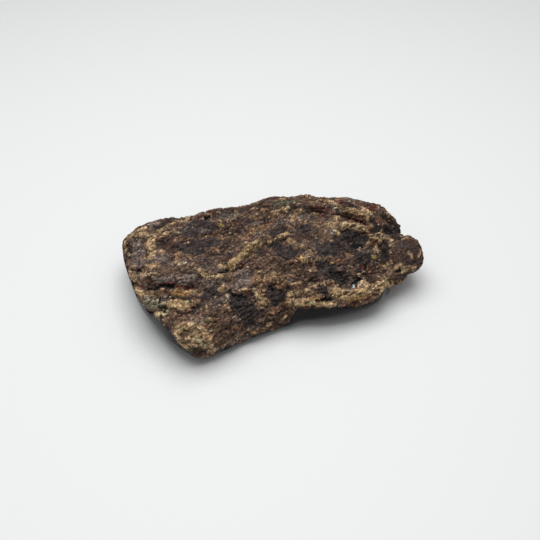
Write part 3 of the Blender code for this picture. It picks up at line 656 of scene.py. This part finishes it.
def fractal(points, spread, octaves, place):
    """Smooth noise about 0 at each point, with finer noise on it."""
    shift = Vector((place, 1.7 * place, -0.6 * place))
    return np.fromiter(
        (noise.fractal(Vector(p) / spread + shift, 1.0, 2.0, octaves) for p in points), float, len(points)
    )


def cells(points, spread, place):
    """For each point, how far the nearest and the next grain's middle are, and the grain's own number."""
    shift = Vector((place, -0.7 * place, 1.3 * place))
    near, following, number = (np.empty(len(points)) for _ in range(3))
    for i, p in enumerate(points):
        gaps, middles = noise.voronoi(Vector(p) / spread + shift)
        near[i], following[i] = gaps[0], gaps[1]
        m = middles[0]
        number[i] = m.x * 12.9898 + m.y * 78.233 + m.z * 37.719
    number = np.sin(number) * 43758.5453
    return near, following, number - np.floor(number)


def polar_outline(points):
    """Angles and radii of a smooth closed curve through the points, and the other values along it."""
    rows = np.array(points)
    curve = []
    for i in range(len(rows)):
        before, start, end, after = (rows[(i + k) % len(rows)] for k in (-1, 0, 1, 2))
        for t in np.arange(OUTLINE_STEPS) / OUTLINE_STEPS:
            curve.append(
                0.5
                * (
                    2 * start
                    + (end - before) * t
                    + (2 * before - 5 * start + 4 * end - after) * t**2
                    + (3 * start - before - 3 * end + after) * t**3
                )
            )
    curve = np.array(curve)
    angles = np.arctan2(curve[:, 1], curve[:, 0])
    order = np.argsort(angles)
    radii = np.hypot(curve[:, 0], curve[:, 1])
    return angles[order], radii[order], curve[order, 2], curve[order, 3], curve[order, 4]


def ground_level(points, outline):
    """Below 0 inside the ground form, 0 on it and above 0 outside it."""
    angles, *values = outline
    u = points[:, :2] + FORM_SHIFT
    angle = np.arctan2(u[:, 1], u[:, 0])
    radius, level, above, below = (np.interp(angle, angles, v, period=FULL_TURN) for v in values)
    z = points[:, 2]
    upper = z > level
    power = np.where(upper, above, below)
    height = np.where(upper, (z - level) / (GROUND_TOP - level), (level - z) / (level - GROUND_FOOT))
    return (np.hypot(u[:, 0], u[:, 1]) / radius) ** power + np.clip(height, 0, None) ** power - 1.0


def ground_gap(points, outline):
    """How far each point is from the ground form, in millimetres, and the way to it."""
    step = 0.01
    value = ground_level(points, outline)
    slope = np.empty_like(points)
    for axis in range(3):
        moved = points.copy()
        moved[:, axis] += step
        slope[:, axis] = (ground_level(moved, outline) - value) / step
    steepness = np.maximum((slope**2).sum(1), 1e-9)
    return value / np.sqrt(steepness), -slope * (value / steepness)[:, None]


def camera_axes():
    """The directions to the camera's right, up, and back from what it looks at."""
    level = math.cos(CAMERA_TILT)
    back = Vector((math.sin(CAMERA_TURN) * level, -math.cos(CAMERA_TURN) * level, math.sin(CAMERA_TILT)))
    right = Vector((math.cos(CAMERA_TURN), math.sin(CAMERA_TURN), 0.0))
    return right, back.cross(right), back


def solid_seen():
    """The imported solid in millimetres, ready for lines of sight to be cast on it."""
    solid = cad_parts[NODE].data
    points = [vert.co / MM for vert in solid.vertices]
    return BVHTree.FromPolygons(points, [tuple(face.vertices) for face in solid.polygons])


def seen_path(solid, pixels):
    """Where the camera sees the solid at each of these pixels, to a tenth of a millimetre."""
    right, up, back = camera_axes()
    middle = PHOTO_SIDE / 2
    focus = PHOTO_SIDE * LENS / SENSOR
    path = []
    for x, y in pixels:
        sight = right * ((x - middle) / focus) - up * ((y - middle) / focus) - back
        place, *_ = solid.ray_cast(CAMERA_TARGET + back * CAMERA_DISTANCE, sight)
        if place is None:
            raise RuntimeError(f"the camera sees past the solid at pixel {x}, {y}")
        path.append(place)
    return np.round(np.array(path), 1)


def path_gap(points, path):
    """How far each point is from a line through the path's points."""
    best = np.full(len(points), np.inf)
    if len(path) == 1:
        return np.linalg.norm(points - path[0], axis=1)
    for start, end in zip(path[:-1], path[1:]):
        along = end - start
        share = np.clip((points - start) @ along / max(along @ along, 1e-9), 0, 1)
        best = np.minimum(best, np.linalg.norm(points - start - share[:, None] * along, axis=1))
    return best


def fine_form():
    """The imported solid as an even, fine mesh with its facets rounded, in metres."""
    shape = bmesh.new()
    shape.from_mesh(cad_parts[NODE].data)
    bmesh.ops.remove_doubles(shape, verts=shape.verts, dist=0.002 * MM)
    mesh = bpy.data.meshes.new("form")
    shape.to_mesh(mesh)
    shape.free()
    holder = bpy.data.objects.new("form", mesh)
    bpy.context.scene.collection.objects.link(holder)
    rounding = holder.modifiers.new("rounding", "SUBSURF")
    rounding.levels = rounding.render_levels = 1
    grid = holder.modifiers.new("grid", "REMESH")
    grid.mode = "VOXEL"
    grid.voxel_size = CRUST_GRID * MM
    fine = bpy.data.meshes.new_from_object(holder.evaluated_get(bpy.context.evaluated_depsgraph_get()))
    bpy.data.objects.remove(holder)
    bpy.data.meshes.remove(mesh)
    return fine


def read_points(mesh):
    """The mesh's points in millimetres."""
    points = np.empty(len(mesh.vertices) * 3)
    mesh.vertices.foreach_get("co", points)
    return points.reshape(-1, 3) / MM


def write_points(mesh, points):
    """Puts the mesh's points at these places, given in millimetres."""
    mesh.vertices.foreach_set("co", (points * MM).ravel())
    mesh.update()


def kept_in_box(points):
    """The points, none of them outside the solid's own box."""
    return np.clip(points, np.array(box_low) / MM, np.array(box_high) / MM)


def read_normals(mesh):
    """The way each point of the mesh faces."""
    normals = np.empty(len(mesh.vertices) * 3)
    mesh.vertices.foreach_get("normal", normals)
    return normals.reshape(-1, 3)


def soften(mesh, rounds):
    """Evens out the mesh's points."""
    shape = bmesh.new()
    shape.from_mesh(mesh)
    for _ in range(rounds):
        bmesh.ops.smooth_vert(
            shape, verts=list(shape.verts), factor=0.5, use_axis_x=True, use_axis_y=True, use_axis_z=True
        )
    shape.to_mesh(mesh)
    shape.free()


def even_out(mesh, chosen, rounds):
    """The choice of points with lone specks taken out."""
    pairs = np.empty(len(mesh.edges) * 2, np.int32)
    mesh.edges.foreach_get("vertices", pairs)
    first, second = pairs[::2], pairs[1::2]
    count = len(chosen)
    share = chosen.astype(float)
    neighbours = np.bincount(first, minlength=count) + np.bincount(second, minlength=count)
    for _ in range(rounds):
        total = np.bincount(first, share[second], count) + np.bincount(second, share[first], count)
        share = 0.5 * share + 0.5 * total / neighbours
    return share > 0.5


def ground_points(points, gap):
    """Which points lie on the ground form, under the crust's ragged edge."""
    wander = fractal(points, *SEAM_NOISE)
    ground = (np.abs(gap) < SEAM_GAP + SEAM_WANDER * wander) | (points[:, 2] < FLAT_TOP)
    from_middle = points[:, :2] + FORM_SHIFT
    turn = np.degrees(np.arctan2(from_middle[:, 1], from_middle[:, 0])) % 360
    return ground & (points[:, 2] < np.interp(turn, *np.transpose(CRUST_EDGE)) + wander)


def settle_on_form(points, ground, outline):
    """Moves the ground points onto the smooth ground form, and flattens the face that the piece lies on."""
    settled = points[ground]
    for _ in range(3):
        _, way = ground_gap(settled, outline)
        length = np.maximum(np.linalg.norm(way, axis=1), 1e-9)
        settled += way * np.minimum(1.0, 0.5 / length)[:, None]
    settled[:, 2] = np.maximum(settled[:, 2], 0.0)
    points[ground] = settled
    return points


def crust_grain(points):
    """The crust's noise at each point: its stains, streaks, specks, grains and small broken plates."""
    sizes = read_sizes()
    turned = points @ FLOW
    bend = np.stack([fractal(points, BEND_WIDTH, 2, 20.0 + k) for k in range(3)], 1)
    near, _, number = cells(points + 0.5 * bend, sizes["grain"], 2.2)
    plate_near, plate_next, plate_number = cells(turned + 0.8 * bend, sizes["plate"], 7.7)
    return SimpleNamespace(
        broad=fractal(turned, *BROAD_NOISE),
        middle=fractal(turned, *MIDDLE_NOISE),
        small=fractal(turned, *SMALL_NOISE),
        tiny=fractal(points, *TINY_NOISE),
        ridge=0.35 - 2.2 * np.abs(fractal(turned, *RIDGE_NOISE)),
        bend=bend,
        near=near,
        number=number,
        plate_number=plate_number,
        plate_share=ease(0.0, 0.16, plate_next - plate_near),
        pocks=ease(0.1, 0.02, number) * ease(0.5, 0.15, near),
    )


def crust_relief(points, gap, grain):
    """How far each point of the crust stands out before any marks, in millimetres."""
    sizes = read_sizes()
    plates = (grain.plate_number - 0.5) * grain.plate_share - 0.4 * (1 - grain.plate_share)
    relief = sizes["plate_height"] * plates
    relief += sizes["rough_height"] * (0.6 * grain.middle + 1.0 * grain.small + 0.5 * grain.tiny)
    relief += sizes["ridge_height"] * grain.ridge
    relief += sizes["grain_height"] * (ease(0.75, 0.1, grain.near) - 0.4) * (0.4 + 1.2 * grain.number)
    relief -= POCK_DEPTH * grain.pocks
    relief += SEAM_LIP * ease(1.4, 0.3, gap)
    from_knob = np.linalg.norm(points - CALM_MIDDLE, axis=1)
    return relief * (1 - CALM_SHARE * ease(1.1, 0.8, from_knob / CALM_REACH))


def crust_base(grain):
    """The crust's own colour and gloss before any marks: brown and grey streaks with dry flecks."""
    colour_of = {name: read_colour(name) for name in FINISHES}

    def blend(colour, finish, share):
        share = share[:, None]
        return colour * (1 - share) + colour_of[finish] * share

    colour = np.tile(colour_of["umber"], (len(grain.number), 1))
    colour = blend(colour, "slate", 0.8 * ease(-0.25, 0.3, grain.broad + 0.7 * grain.middle))
    worn = grain.middle - 0.5 * grain.broad + 0.3 * grain.small
    colour = blend(colour, "brown", 0.9 * ease(0.0, 0.35, worn))
    colour = blend(colour, "dark", 0.8 * ease(0.1, 0.45, grain.small - 0.5 * grain.middle))
    crowd = ease(-0.1, 0.45, grain.middle + 0.5 * grain.broad)
    flecks = ease(0.9, 1.0, grain.plate_number + 0.2 * crowd + 0.35 * grain.small)
    colour = blend(colour, "ochre", 0.6 * flecks * ease(-0.2, 0.15, grain.small + grain.tiny))
    flecks = ease(0.94, 1.0, grain.number + 0.22 * crowd) * ease(0.75, 0.4, grain.near)
    colour = blend(colour, "tan", 0.6 * flecks)
    rusty = np.modf(grain.plate_number * 7.31)[0]
    colour = blend(colour, "rust", 0.6 * ease(0.9, 0.95, rusty) * ease(-0.1, 0.25, grain.small))
    stain = np.modf(grain.number * 11.7)[0]
    colour = blend(colour, "red", 0.6 * ease(0.88, 0.94, stain) * ease(-0.3, 0.1, grain.middle))
    wet = np.modf(grain.number * 3.7)[0]
    return colour, 0.12 * ease(0.2, 0.6, grain.small) + 0.2 * ease(0.86, 0.96, wet)


def lay_marks(points, grain, relief, colour, gloss):
    """Adds the patches, ribs and pits to the crust's relief, colour and gloss, with ragged edges; some marks
    are painted shade in cracks and hollows, and some are painted highlights.
    """
    solid = solid_seen()
    speckle = ease(-0.22, 0.16, grain.small + 0.5 * grain.tiny + 0.4 * (grain.plate_number - 0.5))
    ragged = 0.5 * grain.middle + 0.6 * grain.small + 0.4 * grain.tiny
    for finish, half_width, height, pixels in MARKS:
        path = seen_path(solid, pixels)
        lowest = np.min(path, axis=0) - 3 * half_width - 1
        highest = np.max(path, axis=0) + 3 * half_width + 1
        by = np.flatnonzero(((points > lowest) & (points < highest)).all(1))
        reach = path_gap(points[by] + 0.4 * min(half_width, 1.2) * grain.bend[by], path)
        reach += min(0.9, half_width) * ragged[by]
        relief[by] += height * ease(half_width * 1.25, half_width * 0.6, reach)
        soft = 0.06 + 0.1 * half_width
        shine, broken = FINISHES[finish]
        weight = ease(half_width + soft, half_width - soft, reach) * (1 - broken + broken * speckle[by])
        colour[by] += (read_colour(finish) - colour[by]) * weight[:, None]
        gloss[by] += (shine - gloss[by]) * weight


def crust_tone_and_painted_shade(grain, low_spots):
    """How light each point of the crust is: uneven from grain to grain, with painted shade in the gaps
    between grains, the cracks between plates, the pocks and the low spots.
    """
    shade = (0.7 + 0.6 * np.modf(grain.number * 5.13)[0]) * (0.92 + 0.16 * grain.plate_number)
    shade *= (1 + 1.0 * grain.tiny + 0.3 * grain.small).clip(0.3, 1.8)
    # painted shade between the grains and in the cracks between plates
    shade *= (1.0 - 0.25 * ease(0.3, 0.62, grain.near)) * (0.6 + 0.4 * grain.plate_share)
    # painted shade in the low spots and in the pocks
    return shade * (1 - 0.5 * low_spots) * (1 - 0.6 * grain.pocks)


def crust_finish(points, gap):
    """The crust's relief in millimetres, its colour with painted shade and painted highlights in it, and its
    gloss at each point.
    """
    grain = crust_grain(points)
    relief = crust_relief(points, gap, grain)
    # painted shade: the crust's colour is darkened where its relief is low
    shade = crust_tone_and_painted_shade(grain, ease(0.05, -0.4, relief))
    colour, gloss = crust_base(grain)
    lay_marks(points, grain, relief, colour, gloss)
    colour *= shade[:, None]
    return np.clip(relief, -RELIEF_LIMIT, RELIEF_LIMIT), np.clip(colour, 0.003, 0.9), gloss


def write_attribute(mesh, name, kind, values):
    """Keeps one value or one colour for each point of the mesh."""
    layer = mesh.attributes.new(name, kind, "POINT")
    if kind == "FLOAT":
        layer.data.foreach_set("value", np.ascontiguousarray(values, np.float32))
    else:
        rows = np.ones((len(values), 4), np.float32)
        rows[:, :3] = values
        layer.data.foreach_set("color", rows.ravel())


def new_material(name):
    """An empty node material, its shader and its output."""
    made = bpy.data.materials.new(name)
    made.use_nodes = True
    nodes = made.node_tree.nodes
    return made, nodes["Principled BSDF"], nodes["Material Output"]


def crust_material(name, bare):
    """Dull weathered crust, or the bare shiny resin of its wet spots, with a fine grain over the patches."""
    made, shader, _ = new_material(name)
    nodes, links = made.node_tree.nodes, made.node_tree.links
    place = nodes.new("ShaderNodeTexCoord")
    shader.inputs["Specular IOR Level"].default_value = 0.45 if bare else 0.2
    # crust_tint is the crust's colour with its painted shade and painted highlights
    tint = nodes.new("ShaderNodeAttribute")
    tint.attribute_name = "crust_tint"
    gloss = nodes.new("ShaderNodeAttribute")
    gloss.attribute_name = "crust_gloss"

    specks = nodes.new("ShaderNodeTexNoise")
    specks.inputs["Scale"].default_value = SPECK_SCALE
    specks.inputs["Detail"].default_value = 3.0
    specks.inputs["Roughness"].default_value = 0.65
    links.new(place.outputs["Object"], specks.inputs["Vector"])
    lightness = nodes.new("ShaderNodeMapRange")
    lightness.inputs["From Min"].default_value = 0.3
    lightness.inputs["From Max"].default_value = 0.7
    lightness.inputs["To Min"].default_value = 0.3
    lightness.inputs["To Max"].default_value = 1.7
    links.new(specks.outputs["Fac"], lightness.inputs["Value"])
    speckled = nodes.new("ShaderNodeVectorMath")
    speckled.operation = "SCALE"
    links.new(tint.outputs["Color"], speckled.inputs["Vector"])
    links.new(lightness.outputs["Result"], speckled.inputs["Scale"])
    links.new(speckled.outputs["Vector"], shader.inputs["Base Color"])

    rough = nodes.new("ShaderNodeMapRange")
    rough.inputs["To Min"].default_value = 0.5 if bare else 0.85
    rough.inputs["To Max"].default_value = 0.08 if bare else 0.35
    links.new(gloss.outputs["Fac"], rough.inputs["Value"])
    links.new(rough.outputs["Result"], shader.inputs["Roughness"])

    grain = nodes.new("ShaderNodeTexNoise")
    grain.inputs["Scale"].default_value = BUMP_SCALE
    grain.inputs["Detail"].default_value = 4.0
    grain.inputs["Roughness"].default_value = 0.7
    links.new(place.outputs["Object"], grain.inputs["Vector"])
    bump = nodes.new("ShaderNodeBump")
    bump.inputs["Strength"].default_value = 0.2 if bare else 0.7
    bump.inputs["Distance"].default_value = 0.25 * MM
    links.new(grain.outputs["Fac"], bump.inputs["Height"])
    links.new(bump.outputs["Normal"], shader.inputs["Normal"])
    return made


def resin_material():
    """The ground face: clear dark resin, nearly black where it is thick."""
    made, shader, output = new_material("ground_resin")
    nodes, links = made.node_tree.nodes, made.node_tree.links
    shader.inputs["Base Color"].default_value = (1.0, 1.0, 1.0, 1.0)
    shader.inputs["Transmission Weight"].default_value = 1.0
    shader.inputs["IOR"].default_value = RESIN_IOR
    shader.inputs["Roughness"].default_value = 0.3
    shader.inputs["Specular IOR Level"].default_value = 0.1
    shader.inputs["Coat Weight"].default_value = 0.6
    shader.inputs["Coat Roughness"].default_value = 0.04
    depth = nodes.new("ShaderNodeVolumeAbsorption")
    depth.inputs["Color"].default_value = (*read_colour("resin_depth"), 1.0)
    depth.inputs["Density"].default_value = RESIN_DENSITY
    links.new(depth.outputs["Volume"], output.inputs["Volume"])
    return made


def rim_material():
    """The upturned rim of the ground face: smooth, opaque and nearly black, dark resin whose black is partly
    painted shade, the dark reflection of the shaded floor beneath.
    """
    made, shader, _ = new_material("dark_rim")
    shader.inputs["Base Color"].default_value = (*read_colour("rim"), 1.0)
    shader.inputs["Specular IOR Level"].default_value = 0.12
    shader.inputs["Roughness"].default_value = 0.12
    return made


def thin_out(mesh, triangles):
    """A copy of the mesh with about this many triangles, fewest where it is smooth."""
    holder = bpy.data.objects.new("dense", mesh)
    bpy.context.scene.collection.objects.link(holder)
    thinning = holder.modifiers.new("thinning", "DECIMATE")
    thinning.ratio = triangles / sum(len(face.vertices) - 2 for face in mesh.polygons)
    thinning.use_collapse_triangulate = True
    thin = bpy.data.meshes.new_from_object(holder.evaluated_get(bpy.context.evaluated_depsgraph_get()))
    bpy.data.objects.remove(holder)
    return thin


def paint_faces(mesh, ground, gloss):
    """Gives each face the crust, the ground resin, the bare resin or the dark rim."""
    corners = np.empty(len(mesh.loops), np.int32)
    mesh.loops.foreach_get("vertex_index", corners)
    starts = np.empty(len(mesh.polygons), np.int32)
    mesh.polygons.foreach_get("loop_start", starts)
    on_ground = np.minimum.reduceat(ground[corners].astype(np.int32), starts)
    shiny = np.minimum.reduceat(gloss[corners], starts) > BARE_RESIN_GLOSS
    raised = np.minimum.reduceat(read_points(mesh)[corners, 2], starts) > RIM_FOOT
    kinds = np.where(on_ground, np.where(raised, RIM, GROUND), np.where(shiny, BARE, CRUST))
    mesh.polygons.foreach_set("material_index", kinds.astype(np.int32))
    mesh.polygons.foreach_set("use_smooth", np.ones(len(mesh.polygons), bool))


def finish_piece(piece):
    """Puts the piece in the picture and on the body."""
    bpy.context.scene.collection.objects.link(piece)
    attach(piece, BODY)


class AMBER_OT_piece(bpy.types.Operator):
    """Make the piece itself: its crust and its ground face"""

    bl_idname = "amber.piece"
    bl_label = "Make Amber Piece"

    def execute(self, context):
        mesh = fine_form()
        outline = polar_outline(GROUND_OUTLINE)
        soften(mesh, 2)
        points = read_points(mesh)
        gap, _ = ground_gap(points, outline)
        ground = even_out(mesh, ground_points(points, gap), 8)
        points = settle_on_form(points, ground, outline)
        write_points(mesh, points)

        crust = np.flatnonzero(~ground)
        facing = read_normals(mesh)[crust]
        relief, colour, gloss = crust_finish(points[crust], np.abs(gap[crust]))
        points[crust] += relief[:, None] * facing
        points = kept_in_box(points)
        write_points(mesh, points)

        # The crust's colour, painted shade and painted highlights included, is kept on the points
        tints = np.full((len(points), 3), GROUND_TINT)
        tints[crust] = colour
        glosses = np.zeros(len(points))
        glosses[crust] = gloss
        write_attribute(mesh, "crust_tint", "FLOAT_COLOR", tints)
        write_attribute(mesh, "crust_gloss", "FLOAT", glosses)
        mesh.materials.clear()
        for made in (
            crust_material("weathered_crust", False),
            resin_material(),
            crust_material("bare_resin", True),
            rim_material(),
        ):
            mesh.materials.append(made)
        paint_faces(mesh, ground, glosses)
        thin = thin_out(mesh, CRUST_TRIANGLES)
        thin.name = "amber_crust_and_face"
        piece = bpy.data.objects.new("amber_piece", thin)
        finish_piece(piece)
        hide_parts(NODE)
        return {"FINISHED"}


def repeated_ball(name, count):
    """A mesh of this many faceted balls of a millimetre's radius, all in one place."""
    shape = bmesh.new()
    bmesh.ops.create_icosphere(shape, subdivisions=1, radius=MM)
    ball = bpy.data.meshes.new("ball")
    shape.to_mesh(ball)
    shape.clear()
    for _ in range(count):
        shape.from_mesh(ball)
    mesh = bpy.data.meshes.new(name)
    shape.to_mesh(mesh)
    shape.free()
    bpy.data.meshes.remove(ball)
    return mesh


class AMBER_OT_crumbs(bpy.types.Operator):
    """Make the loose looking grains and flakes that stick out of the crust"""

    bl_idname = "amber.crumbs"
    bl_label = "Make Crumbs"

    def execute(self, context):
        base = bpy.data.objects["amber_piece"].data
        points, normals = read_points(base), read_normals(base)
        tints = np.empty(len(points) * 4, np.float32)
        base.attributes["crust_tint"].data.foreach_get("color", tints)
        tints = tints.reshape(-1, 4)[:, :3]
        shine = np.empty(len(points), np.float32)
        base.attributes["crust_gloss"].data.foreach_get("value", shine)
        chance = np.random.default_rng(CRUMB_SEED)
        crust = (tints.sum(1) > 3.1 * GROUND_TINT) & (shine < BARE_RESIN_GLOSS)
        seats = chance.choice(np.flatnonzero(crust & (points[:, 2] > CRUMB_FOOT)), CRUMBS, replace=False)

        mesh = repeated_ball("crumbs", CRUMBS)
        ball = read_points(mesh)[: len(mesh.vertices) // CRUMBS]

        up = normals[seats]
        streak = np.array((math.cos(FLOW_TURN), -math.sin(FLOW_TURN), 0.0))
        flow = streak + chance.normal(0, 0.5, (CRUMBS, 3))
        along = flow - up * (flow * up).sum(1)[:, None]
        along /= np.linalg.norm(along, axis=1)[:, None]
        across = np.cross(up, along)
        size = np.exp(chance.normal(math.log(CRUMB_SIZE), 0.38, CRUMBS)).clip(0.12, 0.55)[:, None]
        axes = np.stack([along * 1.5 * size, across * size, up * 0.6 * size], 1)
        ragged = ball[None] * (1 + chance.uniform(-0.3, 0.3, (CRUMBS, len(ball), 1)))
        places = (points[seats] - up * 0.3 * size)[:, None] + ragged @ axes
        write_points(mesh, kept_in_box(places.reshape(-1, 3)))
        shade = np.exp(chance.normal(0.1, 0.35, CRUMBS))[:, None]
        tints = (tints[seats] * shade).clip(0, PALEST_CRUMB)
        write_attribute(mesh, "crust_tint", "FLOAT_COLOR", np.repeat(tints, len(ball), 0))
        write_attribute(mesh, "crust_gloss", "FLOAT", np.repeat(shine[seats], len(ball)))
        mesh.materials.append(bpy.data.materials["weathered_crust"])
        finish_piece(bpy.data.objects.new("crumbs", mesh))
        return {"FINISHED"}


def pale_floor():
    """A wide floor, pale and plain."""
    shape = bmesh.new()
    bmesh.ops.create_grid(shape, x_segments=1, y_segments=1, size=3.0)
    mesh = bpy.data.meshes.new("floor")
    shape.to_mesh(mesh)
    shape.free()
    made, shader, _ = new_material("pale_floor")
    shader.inputs["Base Color"].default_value = (*read_colour("floor"), 1.0)
    shader.inputs["Roughness"].default_value = 0.6
    mesh.materials.append(made)
    return bpy.data.objects.new("floor", mesh)


def studio_world():
    """Soft light that grows from the horizon up, and a plain grey backdrop for the camera."""
    world = bpy.data.worlds.new("studio")
    world.use_nodes = True
    nodes, links = world.node_tree.nodes, world.node_tree.links
    backdrop = nodes["Background"]
    backdrop.inputs["Color"].default_value = (*read_colour("studio"), 1.0)
    way = nodes.new("ShaderNodeTexCoord")
    parts = nodes.new("ShaderNodeSeparateXYZ")
    rise = nodes.new("ShaderNodeMapRange")
    rise.inputs["From Min"].default_value = 0.1
    rise.inputs["From Max"].default_value = 0.8
    rise.inputs["To Min"].default_value = 0.1
    rise.inputs["To Max"].default_value = 0.6
    links.new(way.outputs["Generated"], parts.inputs["Vector"])
    links.new(parts.outputs["Z"], rise.inputs["Value"])
    seen = nodes.new("ShaderNodeLightPath")
    haze = nodes.new("ShaderNodeMath")
    haze.operation = "MULTIPLY"
    haze.inputs[1].default_value = BACKDROP_STRENGTH
    links.new(seen.outputs["Is Camera Ray"], haze.inputs[0])
    pale = nodes.new("ShaderNodeMath")
    pale.operation = "MAXIMUM"
    links.new(rise.outputs["Result"], pale.inputs[0])
    links.new(haze.outputs["Value"], pale.inputs[1])
    links.new(pale.outputs["Value"], backdrop.inputs["Strength"])
    return world


def overhead_light():
    """One square soft light above the piece, a little behind it."""
    light = bpy.data.lights.new("overhead", "AREA")
    light.size = LIGHT_WIDTH
    light.energy = LIGHT_POWER
    holder = bpy.data.objects.new("overhead", light)
    holder.location = LIGHT_PLACE
    holder.rotation_euler = (LIGHT_TARGET - LIGHT_PLACE).to_track_quat("-Z", "Y").to_euler()
    return holder


def photo_camera():
    """The camera at the photo's viewing angle."""
    camera = bpy.data.cameras.new("camera")
    camera.lens = LENS
    camera.sensor_width = SENSOR
    camera.clip_start = 0.01
    holder = bpy.data.objects.new("camera", camera)
    _, _, back = camera_axes()
    holder.location = (CAMERA_TARGET + back * CAMERA_DISTANCE) * MM
    holder.rotation_euler = (-back).to_track_quat("-Z", "Y").to_euler()
    return holder


class AMBER_OT_stage(bpy.types.Operator):
    """Make the pale floor, the soft light and the camera"""

    bl_idname = "amber.stage"
    bl_label = "Make Stage"

    def execute(self, context):
        scene = context.scene
        floor, light, camera = pale_floor(), overhead_light(), photo_camera()
        for made in (floor, light, camera):
            scene.collection.objects.link(made)
        scene.world = studio_world()
        scene.view_settings.view_transform = "Standard"
        scene.camera = camera
        return {"FINISHED"}


class AMBER_PT_panel(bpy.types.Panel):
    """The piece's sizes, colours and steps"""

    bl_idname = "AMBER_PT_panel"
    bl_label = "Raw Amber Piece"
    bl_space_type = "VIEW_3D"
    bl_region_type = "UI"
    bl_category = "Amber"

    def draw(self, context):
        layout = self.layout
        for group in (context.scene.amber_sizes, context.scene.amber_colours):
            for name in group.__annotations__:
                layout.prop(group, name)
        for operator in OPERATORS:
            layout.operator(operator.bl_idname)


OPERATORS = (AMBER_OT_piece, AMBER_OT_crumbs, AMBER_OT_stage)
CLASSES = (AmberSizes, AmberColours, *OPERATORS, AMBER_PT_panel)


def register():
    """Adds the classes and the scene's own properties."""
    for made in CLASSES:
        bpy.utils.register_class(made)
    bpy.types.Scene.amber_sizes = bpy.props.PointerProperty(type=AmberSizes)
    bpy.types.Scene.amber_colours = bpy.props.PointerProperty(type=AmberColours)


def unregister():
    """Takes the classes and the properties away again."""
    del bpy.types.Scene.amber_colours
    del bpy.types.Scene.amber_sizes
    for made in reversed(CLASSES):
        bpy.utils.unregister_class(made)


def main():
    """Makes everything in order."""
    register()
    bpy.ops.amber.piece()
    bpy.ops.amber.crumbs()
    bpy.ops.amber.stage()


if __name__ == "__main__":
    main()
